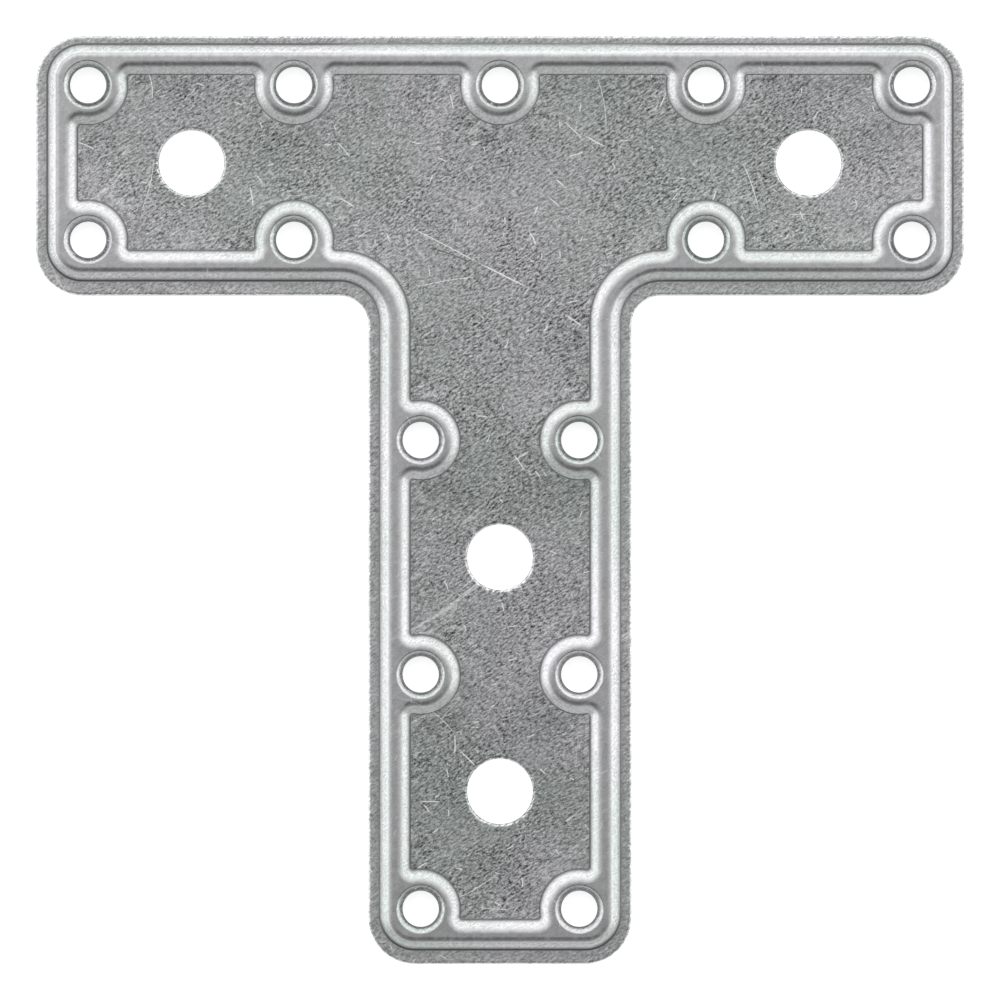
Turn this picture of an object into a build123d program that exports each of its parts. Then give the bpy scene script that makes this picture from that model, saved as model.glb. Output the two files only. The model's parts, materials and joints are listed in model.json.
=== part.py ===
from build123d import *
from math import atan, degrees, tan
import os

# T-shaped joining plate pressed from one flat sheet.
# The origin lies on the back face, in the middle of the outline's bounding box.
# The crossbar runs along X at the +Y end, and the raised side faces +Z.

# Flat blank
plate_width = 120.0
plate_height = 120.0
crossbar_width = 33.5
stem_width = 34.0
sheet_thickness = 1.25
outer_corner_radius = 6.0
inner_corner_radius = 3.8

# Pressing: a raised bead follows the outline between a flat flange and the flat panel
flange_width = 1.45
bead_crown_width = 1.5
bead_flank_width = 1.2
bead_height = 1.1
crown_edge_bevel = 0.3
crease_corner_radius = 0.45
pressing_shift = 0.4  # the pressed pattern sits this much nearer to the crossbar's outer edge

# Screw holes, each in a round pad that stands as high as the bead
screw_hole_diameter = 4.7
countersink_diameter = 6.1
countersink_angle = 90.0
pad_diameter = 7.8
screw_hole_inset = 6.75
stem_screw_pitch = 30.3

# Bolt holes in the flat panel
bolt_hole_diameter = 8.5

# Bevel that stands for the roll-over of every sheared edge on the raised side
shear_roll = 0.2

# Worked-out places
half_width = plate_width / 2
half_height = plate_height / 2
half_stem = stem_width / 2
shoulder_level = half_height - crossbar_width
crossbar_middle = half_height - crossbar_width / 2
bead_width = bead_crown_width + 2 * bead_flank_width
flank_taper = degrees(atan(bead_flank_width / bead_height))
groove_inset = sheet_thickness * tan(atan(bead_height / bead_flank_width) / 2)
crown_level = sheet_thickness + bead_height

screw_reach = half_width - screw_hole_inset
crossbar_screw_columns = [-screw_reach, -screw_reach / 2, 0, screw_reach / 2, screw_reach]
upper_screw_row = half_height - screw_hole_inset
lower_screw_row = shoulder_level + screw_hole_inset
stem_screw_column = half_stem - screw_hole_inset
stem_screw_rows = [screw_hole_inset - half_height + step * stem_screw_pitch for step in range(3)]

upper_row = [(x, upper_screw_row) for x in crossbar_screw_columns]
lower_row = [(x, lower_screw_row) for x in crossbar_screw_columns if x != 0]
stem_rows = [(side * stem_screw_column, y) for y in stem_screw_rows for side in (-1, 1)]
screw_holes = upper_row + lower_row + stem_rows

crossbar_bolt_column = (crossbar_screw_columns[3] + crossbar_screw_columns[4]) / 2
crossbar_bolts = [(side * crossbar_bolt_column, crossbar_middle) for side in (-1, 1)]
stem_bolts = [(0, row + stem_screw_pitch / 2) for row in stem_screw_rows[:2]]
bolt_holes = crossbar_bolts + stem_bolts

pressed_back = Plane((0, pressing_shift, 0))
pressed_sheet = pressed_back.offset(sheet_thickness)
pressed_crown = pressed_back.offset(crown_level)

with BuildSketch() as blank:
    with BuildLine():
        FilletPolyline(
            (half_width, half_height),
            (-half_width, half_height),
            (-half_width, shoulder_level),
            (-half_stem, shoulder_level),
            (-half_stem, -half_height),
            (half_stem, -half_height),
            (half_stem, shoulder_level),
            (half_width, shoulder_level),
            radius=[
                outer_corner_radius,
                outer_corner_radius,
                outer_corner_radius,
                inner_corner_radius,
                outer_corner_radius,
                outer_corner_radius,
                inner_corner_radius,
                outer_corner_radius,
            ],
            close=True,
        )
    make_face()

# The panel is scalloped round the foot of every screw pad
lobe_radius = pad_diameter / 2 + bead_flank_width


def on_a_lobe(corner):
    distances = [(Vector(x, y) - Vector(corner.X, corner.Y)).length for x, y in screw_holes]
    return abs(min(distances) - lobe_radius) < crease_corner_radius / 100


with BuildSketch() as panel:
    offset(blank.sketch, amount=-flange_width - bead_width)
    with Locations(*screw_holes):
        Circle(lobe_radius, mode=Mode.SUBTRACT)
    fillet(panel.vertices().filter_by(on_a_lobe), radius=crease_corner_radius)

with BuildSketch() as bead:
    offset(blank.sketch, amount=-flange_width)
    add(panel.sketch, mode=Mode.SUBTRACT)

with BuildPart() as joining_plate:
    add(blank.sketch)
    extrude(amount=sheet_thickness)

    with BuildSketch(pressed_sheet):
        add(bead.sketch)
    extrude(amount=bead_height, taper=flank_taper)
    crown = joining_plate.faces().sort_by(Axis.Z)[-1]
    chamfer(crown.edges(), length=crown_edge_bevel)

    # The groove on the back keeps the wall one sheet thick through the flanks
    with BuildSketch(pressed_back):
        offset(bead.sketch, amount=-groove_inset)
    extrude(amount=bead_height, taper=flank_taper, mode=Mode.SUBTRACT)

    with Locations(pressed_crown):
        with Locations(*screw_holes):
            CounterSinkHole(
                radius=screw_hole_diameter / 2,
                counter_sink_radius=countersink_diameter / 2,
                counter_sink_angle=countersink_angle,
            )
    with Locations(pressed_sheet):
        with Locations(*bolt_holes):
            Hole(radius=bolt_hole_diameter / 2)

    level_faces = joining_plate.faces().filter_by(Axis.Z)
    sheet_faces = level_faces.filter_by(lambda face: abs(face.center().Z - sheet_thickness) < shear_roll / 10)
    flange, flat_panel = sheet_faces.sort_by(SortBy.AREA)
    bolt_rims = [rim.edges() for rim in flat_panel.inner_wires()]
    chamfer([flange.outer_wire().edges(), *bolt_rims], length=shear_roll)

joining_plate.part.label = "joining_plate"
os.makedirs("parts", exist_ok=True)
export_step(joining_plate.part, "parts/joining_plate.step")
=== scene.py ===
import json
import math

import bmesh
import bpy
import numpy as np
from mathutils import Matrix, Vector
from mathutils.geometry import delaunay_2d_cdt


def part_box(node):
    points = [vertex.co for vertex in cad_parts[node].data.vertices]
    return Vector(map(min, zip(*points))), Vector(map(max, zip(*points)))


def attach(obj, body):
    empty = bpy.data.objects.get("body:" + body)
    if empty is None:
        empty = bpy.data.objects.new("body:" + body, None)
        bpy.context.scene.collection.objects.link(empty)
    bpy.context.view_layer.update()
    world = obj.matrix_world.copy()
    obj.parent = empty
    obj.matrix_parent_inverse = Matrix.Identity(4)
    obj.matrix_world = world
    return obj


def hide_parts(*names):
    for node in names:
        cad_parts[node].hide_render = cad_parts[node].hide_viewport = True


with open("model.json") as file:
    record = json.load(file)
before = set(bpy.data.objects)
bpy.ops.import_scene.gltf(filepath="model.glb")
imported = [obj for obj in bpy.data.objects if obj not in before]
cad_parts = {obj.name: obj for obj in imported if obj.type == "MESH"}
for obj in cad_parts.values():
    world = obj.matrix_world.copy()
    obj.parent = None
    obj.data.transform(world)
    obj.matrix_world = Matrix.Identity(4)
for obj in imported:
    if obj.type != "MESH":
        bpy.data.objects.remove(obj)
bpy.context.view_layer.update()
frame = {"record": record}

# ---------------------------------------------------------------------------------------------
# Sizes, in millimetres. What the frame knows is read from it: the outline's box from the node,
# and the holes from the record's mounts. The rest repeats the pressed section of the plate.
# ---------------------------------------------------------------------------------------------
METRE = 0.001
plate_high = np.array(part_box("joining_plate")[1]) / METRE
mounts = {mount["name"]: mount for mount in frame["record"]["mounts"]}

crossbar_width = 33.5
stem_width = 34.0
sheet_thickness = 1.25
outer_corner_radius = 6.0
inner_corner_radius = 3.8

flange_width = 1.45
bead_crown_width = 1.5
bead_flank_width = 1.2
bead_height = plate_high[2] - sheet_thickness
bead_slope = math.atan2(bead_height, bead_flank_width)
panel_corner_radius = 0.45
pad_radius = 3.9
lobe_radius = pad_radius + bead_flank_width

screw_hole_radius = mounts["crossbar_outer_screws"]["dims"]["hole_r_mm"]
bolt_hole_radius = mounts["crossbar_bolts"]["dims"]["hole_r_mm"]
countersink_radius = 3.05
countersink_throat_radius = 2.5
lip_rounding = 0.12

# Small radii of the pressed and sheared edges
crease_radius = 0.20
crown_radius = 1.40
shear_roll = 0.28
bolt_roll = 0.36

# The panel rises a little towards its creases, as pressed sheet does
dish_height = 0.20
dish_reach = 3.6

# A flat band left beside every rounding, so that flat faces shade flat
rest_band = 0.07

# How much painted shade darkens the crease, and how much wear and painted sheen brighten the
# slope and crown, at each point of the bead's section from its foot up
CREASE_PAINTED_SHADE = [0.8, 1.0, 1.0, 1.0, 0.4]
CROWN_WEAR_AND_SHEEN = [0.0] * 8 + [0.2, 0.4, 0.6, 0.8, 1.0, 1.0]
# The point of the section where a painted line of shade follows the crown's outer edge, and its
# strength
CROWN_LINE = 10
CROWN_LINE_PAINTED_SHADE = 0.45
# The painted shade in the outer crease away from the stem's sides grows over this many millimetres
STEM_FADE = 6

ARC_STEP = math.radians(6)
LINE_STEP = 1.2

# The loose points that let the panel bend: a staggered grid, kept clear of the borders
GRID_SEED, GRID_PITCH, GRID_JITTER = 7, 0.9, 0.12
RIM_CLEARANCE, EDGE_CLEARANCE = 0.35, 0.45

# Keeps points off the borders between the cells in which they are merged
MERGE_OFFSET = 0.000137


# ---------------------------------------------------------------------------------------------
# Hole places, read from the mounts
# ---------------------------------------------------------------------------------------------
def pattern_holes(name):
    """The hole centres of a bolt pattern or bore mount, in millimetres."""
    mount = mounts[name]
    x, y = mount["pos_m"][0] / METRE, mount["pos_m"][1] / METRE
    half_x = mount["dims"].get("spacing_x_mm", 0) / 2
    half_y = mount["dims"].get("spacing_y_mm", 0) / 2
    return sorted({(x + i * half_x, y + j * half_y) for i in (-1, 1) for j in (-1, 1)})


outer_screws = pattern_holes("crossbar_outer_screws")
inner_screws = pattern_holes("crossbar_inner_screws")
middle_screw = pattern_holes("crossbar_middle_screw")
stem_screws = pattern_holes("stem_screws")
end_screws = pattern_holes("stem_end_screws")
screw_holes = outer_screws + inner_screws + middle_screw + stem_screws + end_screws
bolt_holes = pattern_holes("crossbar_bolts") + pattern_holes("stem_bolts")

half_width, half_height = plate_high[0], plate_high[1]
half_stem = stem_width / 2
shoulder = half_height - crossbar_width
upper_row = max(y for x, y in outer_screws)
lower_row = min(y for x, y in outer_screws)
end_row = end_screws[0][1]
screw_inset = half_width - outer_screws[-1][0]
pressing_shift = upper_row - (half_height - screw_inset)
SHIFT = np.array([0.0, pressing_shift])


# ---------------------------------------------------------------------------------------------
# Loops: a closed path of stations, each with a foot and the direction in which it is offset
# ---------------------------------------------------------------------------------------------
def direction(angle):
    return np.array([math.cos(angle), math.sin(angle)])


def arc(centre, radius, start, end, side):
    """Stations round an arc, from one angle to another in degrees. side is 1 where the offset
    points away from the centre and -1 where it points towards it."""
    start, end = math.radians(start), math.radians(end)
    count = max(2, round(abs(end - start) / ARC_STEP))
    angles = [start + (end - start) * i / count for i in range(count + 1)]
    return [(np.array(centre) + radius * direction(a), side * direction(a)) for a in angles]


def line(start, end, turn):
    """Stations along a straight run. turn is 1 to offset to its left and -1 to its right."""
    along = end - start
    length = np.linalg.norm(along)
    normal = turn * np.array([-along[1], along[0]]) / length
    count = max(1, round(length / LINE_STEP))
    return [(start + along * i / count, normal) for i in range(count + 1)]


def fan(foot, first, last):
    """Stations that turn on the spot between two offset directions."""
    start = math.atan2(first[1], first[0])
    swing = math.atan2(first[0] * last[1] - first[1] * last[0], first @ last)
    count = round(abs(swing) / ARC_STEP)
    return [(foot, direction(start + swing * i / count)) for i in range(1, count)]


def join(arcs, turn):
    """A closed loop of arcs in order, with straight runs and fans between them."""
    stations = []
    for index, bend in enumerate(arcs):
        following = arcs[(index + 1) % len(arcs)]
        stations += bend
        run = line(bend[-1][0], following[0][0], turn)
        same_start = run[0][1] @ bend[-1][1] > 0.9999
        same_end = run[-1][1] @ following[0][1] > 0.9999
        if not same_start:
            stations += fan(run[0][0], bend[-1][1], run[0][1])
        stations += run[1 if same_start else 0 : -1 if same_end else len(run)]
        if not same_end:
            stations += fan(run[-1][0], run[-1][1], following[0][1])
    feet = np.array([foot for foot, normal in stations])
    normals = np.array([normal for foot, normal in stations])
    return feet, normals


def outline_loop():
    """The blank's outline, clockwise, offset inwards."""
    r = outer_corner_radius
    right, top = half_width - r, half_height - r
    foot, low = half_stem - r, r - half_height
    notch_x, notch_y = half_stem + inner_corner_radius, shoulder - inner_corner_radius
    return join(
        [
            arc((right, top), r, 90, 0, -1),
            arc((right, shoulder + r), r, 0, -90, -1),
            arc((notch_x, notch_y), inner_corner_radius, 90, 180, 1),
            arc((foot, low), r, 0, -90, -1),
            arc((-foot, low), r, -90, -180, -1),
            arc((-notch_x, notch_y), inner_corner_radius, 0, 90, 1),
            arc((-right, shoulder + r), r, -90, -180, -1),
            arc((-right, top), r, 180, 90, -1),
        ],
        -1,
    )


def panel_loop():
    """The panel's scalloped outline, clockwise, drawn in by its own corner radius so that its
    corners are sharp, and offset outwards."""
    inset = flange_width + bead_crown_width + 2 * bead_flank_width + panel_corner_radius
    radius = lobe_radius + panel_corner_radius
    lean = math.degrees(math.asin((screw_inset - inset) / radius))
    notch_x, notch_y = half_stem + inner_corner_radius, shoulder - inner_corner_radius

    def side_pad(hole, facing):
        return arc(hole, radius, facing - 90 - lean, facing + 90 + lean, -1)

    def corner_pad(hole, facing):
        return arc(hole, radius, facing - 45 - lean, facing + 45 + lean, -1)

    def notch(side, start):
        centre = np.array([side * notch_x, notch_y]) + SHIFT
        return arc(centre, inner_corner_radius + inset, start, start + 90, -1)

    reach = outer_screws[-1][0]
    middle = inner_screws[-1][0]
    column = stem_screws[-1][0]
    rows = sorted({y for x, y in stem_screws})
    return join(
        [
            side_pad((0, upper_row), -90),
            side_pad((middle, upper_row), -90),
            corner_pad((reach, upper_row), -135),
            corner_pad((reach, lower_row), 135),
            side_pad((middle, lower_row), 90),
            notch(1, 90),
            *[side_pad((column, row), 180) for row in reversed(rows)],
            corner_pad((column, end_row), 135),
            corner_pad((-column, end_row), 45),
            *[side_pad((-column, row), 0) for row in rows],
            notch(-1, 0),
            side_pad((-middle, lower_row), 90),
            corner_pad((-reach, lower_row), 45),
            corner_pad((-reach, upper_row), -45),
            side_pad((-middle, upper_row), -90),
        ],
        1,
    )


def circle_loop(centre, radius, count=64):
    """A circle's stations, offset outwards."""
    angles = np.arange(count) * 2 * math.pi / count
    normals = np.column_stack([np.cos(angles), np.sin(angles)])
    return np.array(centre) + radius * normals, normals


# ---------------------------------------------------------------------------------------------
# Sections across the loops, as (distance, height) points
# ---------------------------------------------------------------------------------------------
def step_section(width, height, low_radius, high_radius, low_count=3, high_count=8):
    """A slope up from (0, 0) to (width, height) with a rounded foot and a rounded top."""
    slope = math.atan2(height, width)
    low_run = low_radius * math.tan(slope / 2)
    high_run = high_radius * math.tan(slope / 2)
    points = []
    for i in range(low_count + 1):
        angle = slope * i / low_count
        points.append((-low_run + low_radius * math.sin(angle), low_radius * (1 - math.cos(angle))))
    run_start = np.array(points[-1])
    run_end = np.array([width + high_run - high_radius * math.sin(slope), 0.0])
    run_end[1] = height - high_radius * (1 - math.cos(slope))
    for share in (0.25, 0.6):
        points.append(tuple(run_start + share * (run_end - run_start)))
    for i in range(high_count + 1):
        angle = slope * (1 - i / high_count)
        across = width + high_run - high_radius * math.sin(angle)
        points.append((across, height - high_radius * (1 - math.cos(angle))))
    return points


# ---------------------------------------------------------------------------------------------
# The mesh: rings joined to strips, and flat regions filled between rings
# ---------------------------------------------------------------------------------------------
class Shell:
    """Collects points and faces in millimetres, with a zone for each face and, for each point, a
    painted-shade value and a value of wear and painted sheen, then makes one mesh of them."""

    def __init__(self):
        self.points, self.grime, self.polish = [], [], []
        self.faces, self.zones = [], []

    def add(self, points, grime=0.0, polish=0.0):
        start = len(self.points)
        self.points.extend(map(tuple, points))
        self.grime.extend(np.broadcast_to(grime, len(points)).tolist())
        self.polish.extend(np.broadcast_to(polish, len(points)).tolist())
        return np.arange(start, start + len(points))

    def strip(self, rings, zone):
        for first, second in zip(rings, rings[1:]):
            following = np.roll(np.arange(len(first)), -1)
            quads = np.column_stack([first, first[following], second[following], second])
            self.faces.extend(map(tuple, quads.tolist()))
            self.zones.extend([zone] * len(quads))

    def fill(self, borders, inner_points, height, zone, inside, polish=0.0):
        """Triangles between closed borders, through loose points between them."""
        coords, edges = [], []
        for border in borders:
            start = len(coords)
            coords += list(border)
            count = len(border)
            edges += [(start + i, start + (i + 1) % count) for i in range(count)]
        coords += list(inner_points)
        corners = [Vector(point) for point in coords]
        _, _, triangles, sources, _, _ = delaunay_2d_cdt(corners, edges, [], 0, 1e-6)
        made = np.array([coords[source[0]] for source in sources])
        triangles = np.array([tuple(face) for face in triangles])
        kept = triangles[inside(made[triangles].mean(axis=1))]
        ids = self.add(np.column_stack([made, height(made)]), polish=polish)
        self.faces.extend(map(tuple, ids[kept].tolist()))
        self.zones.extend([zone] * len(kept))

    def mesh(self, name):
        points = np.array(self.points)
        cells = np.round(points + MERGE_OFFSET, 3)
        _, first, owner = np.unique(cells, axis=0, return_index=True, return_inverse=True)
        owner = owner.ravel()
        faces, zones = [], []
        for face, zone in zip(self.faces, self.zones):
            merged = list(dict.fromkeys(owner[list(face)].tolist()))
            if len(merged) > 2:
                faces.append(merged)
                zones.append(zone)
        data = bpy.data.meshes.new(name)
        data.from_pydata((points[first] * METRE).tolist(), [], faces)
        for label, values in (("grime", self.grime), ("polish", self.polish)):
            layer = data.attributes.new(label, "FLOAT", "POINT")
            strongest = np.zeros(len(first))
            np.maximum.at(strongest, owner, np.array(values))
            layer.data.foreach_set("value", strongest)
        data.polygons.foreach_set("material_index", zones)
        data.polygons.foreach_set("use_smooth", [True] * len(faces))
        turned = bmesh.new()
        turned.from_mesh(data)
        bmesh.ops.recalc_face_normals(turned, faces=turned.faces)
        turned.to_mesh(data)
        turned.free()
        data.update()
        return data


def within(border, points):
    """Which points lie inside a closed border, by counting the edges to their right."""
    ends = np.roll(border, -1, axis=0)
    inside = np.zeros(len(points), dtype=bool)
    for (x1, y1), (x2, y2) in zip(border, ends):
        if y1 == y2:
            continue
        crosses = (points[:, 1] < y1) != (points[:, 1] < y2)
        across = x1 + (points[:, 1] - y1) * (x2 - x1) / (y2 - y1)
        inside ^= crosses & (points[:, 0] < across)
    return inside


def from_border(points, border):
    """Each point's distance to a closed border's straight pieces."""
    result = np.full(len(points), np.inf)
    for start, end in zip(border, np.roll(border, -1, axis=0)):
        along = end - start
        share = np.clip((points - start) @ along / max(along @ along, 1e-12), 0, 1)
        away = points - (start + share[:, None] * along)
        result = np.minimum(result, np.hypot(away[:, 0], away[:, 1]))
    return result


def nearest(points, targets):
    """Each point's distance to the closest of the targets."""
    result = np.empty(len(points))
    for start in range(0, len(points), 500):
        block = points[start : start + 500, None, :] - targets[None, :, :]
        result[start : start + 500] = np.sqrt((block**2).sum(axis=2)).min(axis=1)
    return result


PANEL, BEAD, EDGE, BACK = range(4)


def build_plate():
    shell = Shell()
    outline_feet, outline_normals = outline_loop()
    panel_feet, panel_normals = panel_loop()

    def outline_ring(distance, height, shifted, **tags):
        flat = outline_feet + distance * outline_normals + shifted * SHIFT
        return shell.add(np.column_stack([flat, np.full(len(flat), height)]), **tags)

    def panel_ring(distance, height, **tags):
        flat = panel_feet + distance * panel_normals
        return shell.add(np.column_stack([flat, np.full(len(flat), height)]), **tags)

    top = sheet_thickness
    crown = top + bead_height
    groove_inset = sheet_thickness * math.tan(bead_slope / 2)

    # Upper side, from the sheared edge in over the flange to the crown
    rings = [outline_ring(0, 0.0, 0), outline_ring(0, 0.45 * top, 0)]
    rings.append(outline_ring(0, top - shear_roll, 0))
    shell.strip(rings, EDGE)
    rings = rings[-1:]
    # Painted sheen brightens the rolled edge, more towards its top, and the flange
    for i in range(1, 5):
        angle = math.pi / 2 * i / 4
        height = top - shear_roll * (1 - math.sin(angle))
        rings.append(outline_ring(shear_roll * (1 - math.cos(angle)), height, 0, polish=i / 4))
    rise = step_section(bead_flank_width, bead_height, crease_radius, crown_radius)
    rise.append((rise[-1][0] + rest_band, bead_height))
    grimes = CREASE_PAINTED_SHADE + [0.0] * (len(rise) - len(CREASE_PAINTED_SHADE))
    wear_sheens = (CROWN_WEAR_AND_SHEEN + [1.0] * len(rise))[: len(rise)]
    start = rise[0][0]
    rings.append(outline_ring(shear_roll + rest_band, top, 0, polish=1.0))
    # Painted shade darkens the flange's inner side, next to the crease
    rings.append(outline_ring(flange_width + start - rest_band, top, 1, grime=0.35, polish=1.0))
    shell.strip(rings, PANEL)
    rings = rings[-1:]
    # Painted shade darkens the outer crease and a line along the crown's outer edge, less near the
    # stem's sides
    from_stem = np.maximum(np.abs(outline_feet[:, 0]) - half_stem, end_row - outline_feet[:, 1])
    off_stem = np.clip(from_stem / STEM_FADE, 0, 1)
    for index, ((across, up), grime, wear_sheen) in enumerate(zip(rise, grimes, wear_sheens)):
        painted_dark = grime * (0.8 + 0.4 * off_stem)
        if index == CROWN_LINE:
            painted_dark = CROWN_LINE_PAINTED_SHADE * off_stem
        rings.append(outline_ring(flange_width + across, top + up, 1, grime=painted_dark, polish=wear_sheen))
    shell.strip(rings, BEAD)
    outer_crown = outline_feet + (flange_width + rise[-1][0]) * outline_normals + SHIFT

    # Upper side, from the panel out to the crown
    foot = panel_corner_radius
    margin = foot + start - rest_band
    panel_edge = panel_feet + margin * panel_normals
    rings = [panel_ring(margin, top + dish_height)]
    # Painted shade in the inner crease, left out where the bead rises towards +Y, the side the light
    # comes from
    facing = 1 - np.clip(panel_normals[:, 1], 0, 1)
    for (across, up), grime, wear_sheen in zip(rise, grimes, wear_sheens):
        settle = dish_height * (1 - up / bead_height)
        painted_dark = grime * facing
        rings.append(panel_ring(foot + across, top + up + settle, grime=painted_dark, polish=wear_sheen))
    shell.strip(rings, BEAD)
    inner_crown = panel_feet + (foot + rise[-1][0]) * panel_normals

    # Screw holes: a countersink with a rounded lip, a steep throat and a straight wall
    roof = bead_height
    lip_radius = countersink_radius + lip_rounding + rest_band
    crown_borders, roof_borders = [outer_crown, inner_crown], []
    for hole in screw_holes:
        # The third value of each point is painted shade, darkening the countersink's throat and the
        # hole's wall
        section = [
            (lip_radius, crown, 0.0),
            (lip_radius - rest_band, crown, 0.0),
            (countersink_radius + 0.03, crown - 0.03, 0.2),
            (countersink_radius - 0.06, crown - 0.11, 0.0),
            (countersink_throat_radius + 0.03, crown - 0.50, 0.0),
            (countersink_throat_radius, crown - 0.54, 0.5),
            (screw_hole_radius + 0.02, crown - 0.75, 1.0),
            (screw_hole_radius, crown - 0.80, 1.0),
            (screw_hole_radius, roof, 1.0),
        ]
        rings = []
        for radius, height, grime in section:
            flat, _ = circle_loop(hole, radius)
            ring = np.column_stack([flat, np.full(len(flat), height)])
            rings.append(shell.add(ring, grime=grime))
        shell.strip(rings, BEAD)
        crown_borders.append(circle_loop(hole, section[0][0])[0])
        roof_borders.append(circle_loop(hole, screw_hole_radius)[0])

    def clear_of(holes, radius, points):
        return nearest(points, np.array(holes)) > radius

    def on_crown(points):
        ring = within(outer_crown, points) & ~within(inner_crown, points)
        return ring & clear_of(screw_holes, lip_radius, points)

    # The crown's flat is brightened by wear and painted sheen
    shell.fill(crown_borders, [], lambda p: np.full(len(p), crown), BEAD, on_crown, polish=1.0)

    # The flat panel, with its rise towards the creases and the rolled rims of the bolt holes
    def dish(points):
        return top + dish_height * np.exp(-from_border(points, panel_edge) / dish_reach)

    rim = bolt_hole_radius + bolt_roll
    collar = rim + rest_band
    panel_borders = [panel_edge]
    for hole in bolt_holes:
        around = circle_loop(hole, collar)[0]
        rings = [shell.add(np.column_stack([around, dish(around)]))]
        level = dish(circle_loop(hole, rim)[0])
        for i in range(5):
            angle = math.pi / 2 * (1 - i / 4)
            flat, _ = circle_loop(hole, rim - bolt_roll * math.cos(angle))
            drop = bolt_roll * (1 - math.sin(angle))
            rings.append(shell.add(np.column_stack([flat, level - drop])))
        shell.strip(rings, PANEL)
        flat, _ = circle_loop(hole, bolt_hole_radius)
        bottom = shell.add(np.column_stack([flat, np.zeros(len(flat))]))
        shell.strip([rings[-1], bottom], EDGE)
        panel_borders.append(around)

    def on_panel(points):
        return within(panel_edge, points) & clear_of(bolt_holes, collar, points)

    dice = np.random.default_rng(GRID_SEED)
    pitch = GRID_PITCH
    columns = np.arange(-half_width, half_width, pitch)
    rows = np.arange(-half_height, half_height, pitch * 0.87)
    grid = np.array([(x + pitch / 2 * (j % 2), y) for j, y in enumerate(rows) for x in columns])
    grid = grid + dice.uniform(-GRID_JITTER, GRID_JITTER, grid.shape)
    grid = grid[within(panel_edge, grid) & clear_of(bolt_holes, collar + RIM_CLEARANCE, grid)]
    grid = grid[from_border(grid, panel_edge) > EDGE_CLEARANCE]
    shell.fill(panel_borders, grid, dish, PANEL, on_panel)

    # Back: the flat faces, and the groove that the pressing leaves, one sheet below the bead
    fold = step_section(bead_flank_width, bead_height, 1.2, 0.05, 5, 2)
    rings = [outline_ring(0, 0.0, 0)]
    mouth = flange_width + groove_inset
    for across, up in fold:
        rings.append(outline_ring(mouth + across, up, 1))
    shell.strip(rings, BACK)
    outer_roof = outline_feet + (mouth + fold[-1][0]) * outline_normals + SHIFT
    mouth = foot + groove_inset
    rings = [panel_ring(mouth + across, up) for across, up in fold]
    shell.strip(rings, BACK)
    panel_mouth = panel_feet + (mouth + fold[0][0]) * panel_normals
    inner_roof = panel_feet + (mouth + fold[-1][0]) * panel_normals

    def on_roof(points):
        ring = within(outer_roof, points) & ~within(inner_roof, points)
        return ring & clear_of(screw_holes, screw_hole_radius, points)

    def on_back(points):
        return within(panel_mouth, points) & clear_of(bolt_holes, bolt_hole_radius, points)

    borders = [outer_roof, inner_roof, *roof_borders]
    shell.fill(borders, [], lambda p: np.full(len(p), roof), BACK, on_roof)
    borders = [panel_mouth, *[circle_loop(hole, bolt_hole_radius)[0] for hole in bolt_holes]]
    shell.fill(borders, [], lambda p: np.zeros(len(p)), BACK, on_back)
    return shell.mesh("pressed_plate")


plate_mesh = build_plate()
plate = bpy.data.objects.new("pressed_plate", plate_mesh)
bpy.context.scene.collection.objects.link(plate)

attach(plate, "root")
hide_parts("joining_plate")


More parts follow.
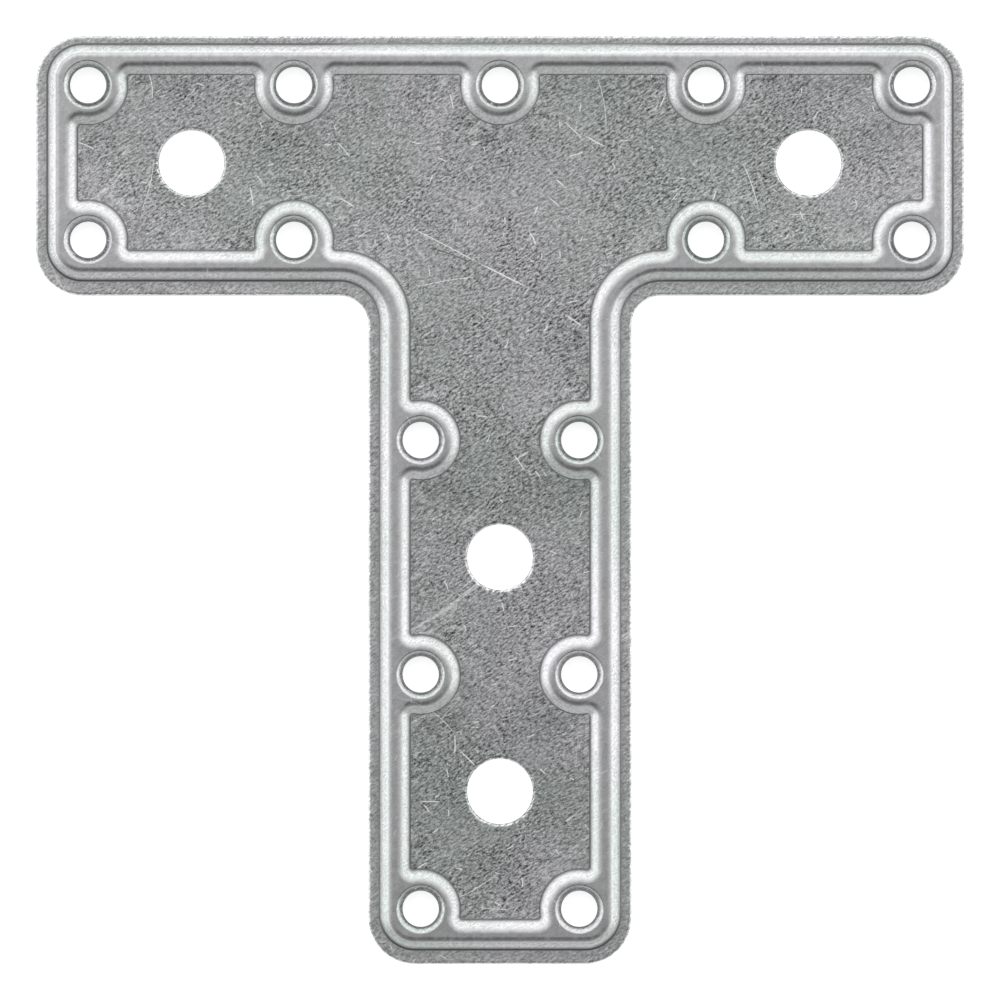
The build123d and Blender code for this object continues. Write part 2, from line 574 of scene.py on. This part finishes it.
# ---------------------------------------------------------------------------------------------
# Materials: bright zinc, worked out in the object's own millimetres
# ---------------------------------------------------------------------------------------------
class Net:
    """Short calls for building a node tree. A value given as a socket is linked."""

    def __init__(self, tree):
        self.tree = tree
        tree.nodes.clear()

    def node(self, kind, inputs=None, **settings):
        made = self.tree.nodes.new(kind)
        for name, value in settings.items():
            setattr(made, name, value)
        for name, value in (inputs or {}).items():
            if isinstance(value, bpy.types.NodeSocket):
                self.tree.links.new(value, made.inputs[name])
            else:
                made.inputs[name].default_value = value
        return made

    def math(self, operation, first, second=0.0, third=0.0):
        inputs = {0: first, 1: second, 2: third}
        return self.node("ShaderNodeMath", inputs, operation=operation).outputs[0]

    def vector(self, operation, first, second=(0, 0, 0)):
        return self.node("ShaderNodeVectorMath", {0: first, 1: second}, operation=operation).outputs[0]

    def scaled(self, vector, factor):
        inputs = {"Vector": vector, "Scale": factor}
        return self.node("ShaderNodeVectorMath", inputs, operation="SCALE").outputs[0]

    def remap(self, value, low, high, to_low=0.0, to_high=1.0, kind="SMOOTHSTEP"):
        inputs = {
            "Value": value,
            "From Min": low,
            "From Max": high,
            "To Min": to_low,
            "To Max": to_high,
        }
        return self.node("ShaderNodeMapRange", inputs, interpolation_type=kind).outputs["Result"]

    def noise(self, vector, size, detail=2.0, roughness=0.5, distortion=0.0):
        """Noise whose largest features are about size millimetres across."""
        inputs = {
            "Vector": vector,
            "Scale": 1 / size,
            "Detail": detail,
            "Roughness": roughness,
            "Distortion": distortion,
        }
        return self.node("ShaderNodeTexNoise", inputs).outputs["Fac"]

    def mix(self, factor, first, second, blend="MIX"):
        made = self.node("ShaderNodeMix", data_type="RGBA", blend_type=blend)
        for index, value in ((0, factor), (6, first), (7, second)):
            if isinstance(value, bpy.types.NodeSocket):
                self.tree.links.new(value, made.inputs[index])
            elif index == 0:
                made.inputs[index].default_value = value
            else:
                made.inputs[index].default_value = (*value, 1)
        return made.outputs[2]

    def attribute(self, name):
        return self.node("ShaderNodeAttribute", attribute_name=name).outputs["Fac"]

    def turned(self, vector, degrees, stretch):
        """The coordinates turned about Z, then drawn out along the turned X."""
        turned = self.node(
            "ShaderNodeVectorRotate",
            {"Vector": vector, "Angle": math.radians(-degrees)},
            rotation_type="Z_AXIS",
        ).outputs[0]
        return self.vector("MULTIPLY", turned, (1 / stretch, 1, 1))

    def nicks(self, coords, cell, length, width, share):
        """One short scratch in a share of the cells, each with its own direction and bend."""
        scaled = self.scaled(coords, 1 / cell)
        flat = self.vector("MULTIPLY", scaled, (1, 1, 0))
        cells = self.node("ShaderNodeTexVoronoi", {"Vector": flat, "Scale": 1.0})
        cells.voronoi_dimensions = "2D"
        dice = self.node("ShaderNodeSeparateColor", {"Color": cells.outputs["Color"]}).outputs
        away = self.vector("SUBTRACT", flat, cells.outputs["Position"])
        angle = self.math("MULTIPLY", dice[0], math.pi)
        local = self.node(
            "ShaderNodeVectorRotate", {"Vector": away, "Angle": angle}, rotation_type="Z_AXIS"
        ).outputs[0]
        parts = self.node("ShaderNodeSeparateXYZ", {"Vector": local}).outputs
        bend = self.math("MULTIPLY", self.math("SUBTRACT", dice[1], 0.5), 0.9)
        bow = self.math("MULTIPLY", bend, self.math("MULTIPLY", parts[0], parts[0]))
        off = self.math("ABSOLUTE", self.math("ADD", parts[1], bow))
        half = width / cell / 2
        line = self.remap(off, half * 1.6, half * 0.3)
        reach = self.math("MULTIPLY", dice[1], length / cell / 2)
        ends = self.remap(self.math("SUBTRACT", self.math("ABSOLUTE", parts[0]), reach), 0.0, -0.05)
        chosen = self.math("LESS_THAN", dice[2], share)
        return self.math("MULTIPLY", self.math("MULTIPLY", line, ends), chosen)

    def hairs(self, coords, degrees, length, spacing, width, cover):
        """Long fine scratches in one direction: level lines of drawn-out noise, broken up."""
        drawn = self.turned(coords, degrees, length / spacing)
        level = self.math("ABSOLUTE", self.math("SUBTRACT", self.noise(drawn, spacing, 1.0), 0.5))
        line = self.remap(level, width, width * 0.2)
        patches = self.noise(self.vector("ADD", coords, (degrees, 7, 3)), length * 0.6, 1.0)
        return self.math("MULTIPLY", line, self.remap(patches, 1 - cover, 1.1 - cover))

    def scratch(self, coords, start, end, width, bow=0.0):
        """One scratch from start to end in millimetres, bowed by so much in its middle."""
        start, end = np.array(start), np.array(end)
        middle, along = (start + end) / 2, end - start
        half = np.linalg.norm(along) / 2
        moved = self.vector("SUBTRACT", coords, (*middle, 0))
        turned = self.turned(moved, math.degrees(math.atan2(along[1], along[0])), 1.0)
        parts = self.node("ShaderNodeSeparateXYZ", {"Vector": turned}).outputs
        curve = self.math("MULTIPLY", self.math("MULTIPLY", parts[0], parts[0]), bow / half**2)
        off = self.math("ABSOLUTE", self.math("ADD", parts[1], curve))
        taper = self.remap(self.math("ABSOLUTE", parts[0]), half, half * 0.5)
        line = self.remap(off, width * 0.8, width * 0.15)
        return self.math("MULTIPLY", line, taper)


# The scratches that stand out: start, end, width and bow, in millimetres
BRIGHT_SCRATCHES = [
    ((-12.1, 35.6), (-2.0, 30.3), 0.13, 0.1),
    ((-3.4, 31.0), (4.1, 27.2), 0.18, 0.0),
    ((-11.0, 27.7), (-2.5, 29.1), 0.09, 0.2),
    ((3.8, 34.9), (4.8, 32.8), 0.20, 0.2),
    ((4.9, 38.1), (4.4, 36.9), 0.18, -0.1),
    ((6.3, 39.2), (7.9, 37.8), 0.15, 0.1),
    ((7.2, 41.5), (8.4, 40.5), 0.18, 0.0),
    ((8.2, 49.1), (11.0, 46.4), 0.12, 0.1),
    ((10.6, 47.3), (13.9, 45.5), 0.13, 0.0),
    ((-11.8, 46.3), (-9.8, 46.0), 0.11, -0.2),
    ((-8.6, 42.2), (-9.1, 41.1), 0.14, 0.0),
    ((-4.8, 37.1), (-1.9, 38.4), 0.11, -0.2),
    ((8.4, 24.0), (10.9, 22.3), 0.19, 0.0),
    ((8.3, 25.4), (10.4, 25.9), 0.11, 0.1),
    ((-14.7, 34.6), (-14.2, 33.3), 0.16, 0.0),
    ((-20.9, 39.2), (-18.6, 37.8), 0.16, 0.1),
    ((-44.6, 41.2), (-42.5, 43.3), 0.10, 0.1),
    ((31.2, 44.6), (33.8, 37.2), 0.11, 0.3),
    ((-5.4, -32.2), (-2.9, -34.6), 0.14, 0.1),
    ((1.6, 6.2), (3.3, 3.7), 0.11, 0.1),
]
DARK_SCRATCHES = [
    ((-10.0, 33.1), (-2.8, 30.5), 0.13, 0.3),
    ((14.5, 53.5), (12.3, 50.8), 0.15, 0.3),
    ((-15.5, 40.2), (-13.5, 41.3), 0.12, 0.1),
    ((-5.0, 43.1), (-3.7, 40.9), 0.12, 0.3),
    ((1.4, 44.4), (1.1, 40.9), 0.10, 0.2),
]

LILAC_ZINC = (0.640, 0.628, 0.655)
GREEN_ZINC = (0.530, 0.570, 0.553)
SHEARED_STEEL = (0.42, 0.42, 0.42)
# Colour of the dark scratches and nicks, and of the painted shade in the creases and hole walls
DARK_MARK_AND_SHADE = (0.13, 0.13, 0.13)
RUBBED_ZINC = (0.97, 0.97, 0.97)
WORN_AND_SHEEN_ZINC = (0.95, 0.95, 0.96)
DULL_ZINC = (0.62, 0.62, 0.64)
SCRATCH_ROUGHNESS = 0.4

# Sizes of the noises in millimetres, and the direction of the rolled grain in degrees
CLOUD_SIZE, PATCH_SIZE, SWELL_SIZE = 26.0, 9.0, 6.0
STROKE_SIZE, SPECK_SIZE, PIT_SIZE, SHEAR_SIZE = 0.26, 0.20, 0.9, 0.35
GRAIN_DIRECTION, GRAIN_STRETCH = 34, 2.3
SWELL_DEPTH = 0.045
MICROMETRE = 1e-3
# The sheared wall's streaks run straight up and down
SHEAR_SQUEEZE = (1, 1, 0.08)


def rolled_grain(net, coords):
    """Short strokes along the grain and round specks between them."""
    strokes = net.noise(net.turned(coords, GRAIN_DIRECTION, GRAIN_STRETCH), STROKE_SIZE, 2.0, 0.6)
    specks = net.noise(coords, SPECK_SIZE, 1.0)
    return net.math("ADD", net.math("MULTIPLY", strokes, 0.7), net.math("MULTIPLY", specks, 0.3))


def strongest(net, layers):
    """The greatest of several layers at each place."""
    result = layers[0]
    for layer in layers[1:]:
        result = net.math("MAXIMUM", result, layer)
    return result


def dark_marks(net, coords):
    """The dark scratches that stand out, and short dark nicks scattered between them."""
    placed = [net.scratch(coords, *spec) for spec in DARK_SCRATCHES]
    nicks = net.nicks(net.vector("ADD", coords, (17, 29, 0)), 4.5, 2.2, 0.13, 0.24)
    return strongest(net, [*placed, net.math("MULTIPLY", nicks, 0.8)])


def bright_marks(net, coords, placed):
    """Nicks of three sizes, faint long hairs and, where wanted, the placed scratches."""
    layers = [net.nicks(net.vector("ADD", coords, (61, 5, 0)), 6.5, 3.4, 0.13, 0.22)]
    if placed:
        layers += [net.scratch(coords, *spec) for spec in BRIGHT_SCRATCHES]
    layers += [
        net.nicks(net.vector("ADD", coords, (31, 17, 0)), 10.0, 9.0, 0.08, 0.30),
        net.nicks(net.vector("ADD", coords, (3, 71, 0)), 2.4, 1.3, 0.12, 0.26),
        net.math("MULTIPLY", net.hairs(coords, GRAIN_DIRECTION, 30.0, 2.6, 0.010, 0.42), 0.45),
    ]
    return strongest(net, layers)


def zinc(name, roughness, grain, clouds=1.0, scratched=1.0, wear_and_sheen_amount=0.0, placed=False):
    """Zinc plate: cloudy colour, a fine drawn grain, scratches, painted shade in the creases and
    holes, and wear with painted sheen on the crown and flange. grain is the depth of the speckle in
    micrometres, clouds the strength of its shading, and the next two strengths those of the
    scratches and of the wear with painted sheen; placed adds the scratches that stand out. With no
    scratches it is the sheared wall, which is streaked instead."""
    material = bpy.data.materials.new(name)
    material.use_nodes = True
    net = Net(material.node_tree)
    coords = net.scaled(net.node("ShaderNodeTexCoord").outputs["Object"], 1 / METRE)

    cloud = net.noise(coords, CLOUD_SIZE, 3.0, 0.6, 0.4)
    colour = net.mix(net.remap(cloud, 0.36, 0.64), GREEN_ZINC, LILAC_ZINC)
    patch = net.noise(net.vector("ADD", coords, (40, 11, 0)), PATCH_SIZE, 4.0, 0.65)
    shade = net.remap(patch, 0.3, 0.7, 1 - 0.10 * clouds, 1 + 0.10 * clouds)

    if scratched:
        speckle = rolled_grain(net, coords)
    else:
        speckle = net.noise(net.vector("MULTIPLY", coords, SHEAR_SQUEEZE), SHEAR_SIZE, 3.0, 0.7)
    pits = net.noise(coords, PIT_SIZE, 3.0, 0.7)
    depth = net.remap(patch, 0.35, 0.65, 1.0 * clouds, 0.6 * clouds)
    grain_shade = net.remap(speckle, 0.34, 0.66, -1.0, 1.0, "LINEAR")
    grain_shade = net.math("MULTIPLY_ADD", grain_shade, depth, 1.0)
    shade = net.math("MULTIPLY", shade, grain_shade)
    grey = net.node("ShaderNodeCombineColor", {0: shade, 1: shade, 2: shade}).outputs[0]
    colour = net.mix(1.0, colour, grey, "MULTIPLY")

    rough = net.remap(pits, 0.3, 0.7, roughness - 0.06, roughness + 0.06, "LINEAR")
    if placed:
        dark = net.math("MULTIPLY", dark_marks(net, coords), 0.75)
        colour = net.mix(dark, colour, DARK_MARK_AND_SHADE)
    if scratched:
        marks = net.math("MULTIPLY", bright_marks(net, coords, placed), scratched)
        colour = net.mix(marks, colour, RUBBED_ZINC)
        rough = net.math("ADD", rough, net.math("MULTIPLY", marks, SCRATCH_ROUGHNESS))
    else:
        colour = net.mix(0.65, colour, SHEARED_STEEL)
    # Wear and painted sheen brighten the colour on the crown, the flange and the rolled edge
    wear_sheen = net.attribute("polish")
    colour = net.mix(net.math("MULTIPLY", wear_sheen, 0.75 if wear_and_sheen_amount else 0.35), colour, WORN_AND_SHEEN_ZINC)
    if wear_and_sheen_amount:
        blot = net.remap(net.noise(net.turned(coords, 70, 1.3), 0.8, 4.0, 0.75), 0.40, 0.66)
        dull = net.math("MULTIPLY", wear_sheen, net.math("MULTIPLY", blot, wear_and_sheen_amount))
        colour = net.mix(dull, colour, DULL_ZINC)
        rough = net.math("ADD", rough, net.math("MULTIPLY", dull, 0.16))
    # Painted shade: the creases and hole walls are darkened in the colour and made a little rougher
    painted_dark = net.attribute("grime")
    colour = net.mix(net.math("MULTIPLY", painted_dark, 0.85), colour, DARK_MARK_AND_SHADE)
    rough = net.math("ADD", rough, net.math("MULTIPLY", painted_dark, 0.2))

    relief = net.math("MULTIPLY", speckle, grain * MICROMETRE)
    relief = net.math("ADD", relief, net.math("MULTIPLY", pits, 0.8 * grain * MICROMETRE))
    swell = net.noise(net.vector("ADD", coords, (5, 50, 0)), SWELL_SIZE, 2.0)
    relief = net.math("ADD", relief, net.math("MULTIPLY", swell, SWELL_DEPTH))
    bump = net.node("ShaderNodeBump", {"Strength": 1.0, "Distance": METRE, "Height": relief})
    shader = net.node(
        "ShaderNodeBsdfPrincipled",
        {"Base Color": colour, "Metallic": 1.0, "Roughness": rough, "Normal": bump.outputs[0]},
    )
    output = net.node("ShaderNodeOutputMaterial")
    net.tree.links.new(shader.outputs[0], output.inputs["Surface"])
    return material


# In the order of the zones: PANEL, BEAD, EDGE, BACK
for zone_material in (
    zinc("zinc_panel", 0.34, 48.0, placed=True),
    zinc("zinc_bead", 0.21, 9.0, clouds=0.3, scratched=0.6, wear_and_sheen_amount=0.9),
    zinc("zinc_sheared", 0.45, 22.0, clouds=0.3, scratched=0.0),
    zinc("zinc_back", 0.42, 20.0, scratched=0.6),
):
    plate_mesh.materials.append(zone_material)

# ---------------------------------------------------------------------------------------------
# Floor, light and camera
# ---------------------------------------------------------------------------------------------
FLOOR_SIZE = 6.0
FLOOR_GLOW, FLOOR_REFLECTED_GLOW = 0.72, 0.35
# Strengths of the room's light, and how much the ceiling gains towards the top and the sides
CEILING, DIM_WALL, BRIGHT_WALL, DARKEST = 0.34, 0.72, 1.5, 0.12
TOP_GAIN, SIDE_GAIN = 1.1, 0.5
# What the picture's width takes in at the plate's height, in metres
FRAME_WIDTH = 0.12912
LENS, SENSOR = 200, 36


def white_floor():
    """A matt white floor that keeps the soft shadow and shows white to the camera."""
    material = bpy.data.materials.new("studio_floor")
    material.use_nodes = True
    net = Net(material.node_tree)
    path = net.node("ShaderNodeLightPath").outputs
    seen = net.math("ADD", path["Is Camera Ray"], path["Is Transmission Ray"])
    glow = net.math("MULTIPLY", seen, FLOOR_GLOW)
    reflected = net.math("MULTIPLY", path["Is Glossy Ray"], FLOOR_REFLECTED_GLOW)
    glow = net.math("ADD", glow, reflected)
    matt = net.node("ShaderNodeBsdfDiffuse", {"Color": (0.8, 0.8, 0.8, 1)})
    light = net.node("ShaderNodeEmission", {"Color": (1, 1, 1, 1), "Strength": glow})
    both = net.node("ShaderNodeAddShader", {0: matt.outputs[0], 1: light.outputs[0]})
    output = net.node("ShaderNodeOutputMaterial")
    net.tree.links.new(both.outputs[0], output.inputs["Surface"])
    return material


def studio_world():
    """A dim ceiling, brighter towards +Y and the sides, over walls that are bright except towards
    -Y. The camera sees plain white."""
    world = bpy.data.worlds.new("studio")
    world.use_nodes = True
    net = Net(world.node_tree)
    ray = net.node("ShaderNodeTexCoord").outputs["Generated"]
    parts = net.node("ShaderNodeSeparateXYZ", {"Vector": ray}).outputs
    side = net.remap(parts["Y"], -0.7, -0.1, DIM_WALL, BRIGHT_WALL)
    low = net.remap(parts["Z"], 0.88, 0.36)
    towards_top = net.math("MULTIPLY", parts["Y"], TOP_GAIN)
    outwards = net.math("MULTIPLY", net.math("ABSOLUTE", parts["X"]), SIDE_GAIN)
    ceiling = net.math("ADD", CEILING, net.math("ADD", towards_top, outwards))
    ceiling = net.math("MAXIMUM", ceiling, DARKEST)
    rise = net.math("MULTIPLY", net.math("SUBTRACT", side, ceiling), low)
    strength = net.math("ADD", rise, ceiling)
    path = net.node("ShaderNodeLightPath").outputs
    seen = path["Is Camera Ray"]
    plain = net.math("MULTIPLY", strength, net.math("SUBTRACT", 1.0, seen))
    strength = net.math("ADD", plain, seen)
    light = net.node("ShaderNodeBackground", {"Color": (1, 1, 1, 1), "Strength": strength})
    output = net.node("ShaderNodeOutputWorld")
    net.tree.links.new(light.outputs[0], output.inputs["Surface"])
    bpy.context.scene.world = world


bpy.ops.mesh.primitive_plane_add(size=FLOOR_SIZE)
floor = bpy.context.object
floor.name = "floor"
floor.data.materials.append(white_floor())
studio_world()

camera_data = bpy.data.cameras.new("camera")
camera_data.lens, camera_data.sensor_width = LENS, SENSOR
camera_data.clip_end = 2 * FLOOR_SIZE
camera = bpy.data.objects.new("camera", camera_data)
camera.location = (0, 0, FRAME_WIDTH * LENS / SENSOR + plate_high[2] * METRE)
bpy.context.scene.collection.objects.link(camera)
bpy.context.scene.camera = camera
bpy.context.scene.view_settings.view_transform = "Standard"
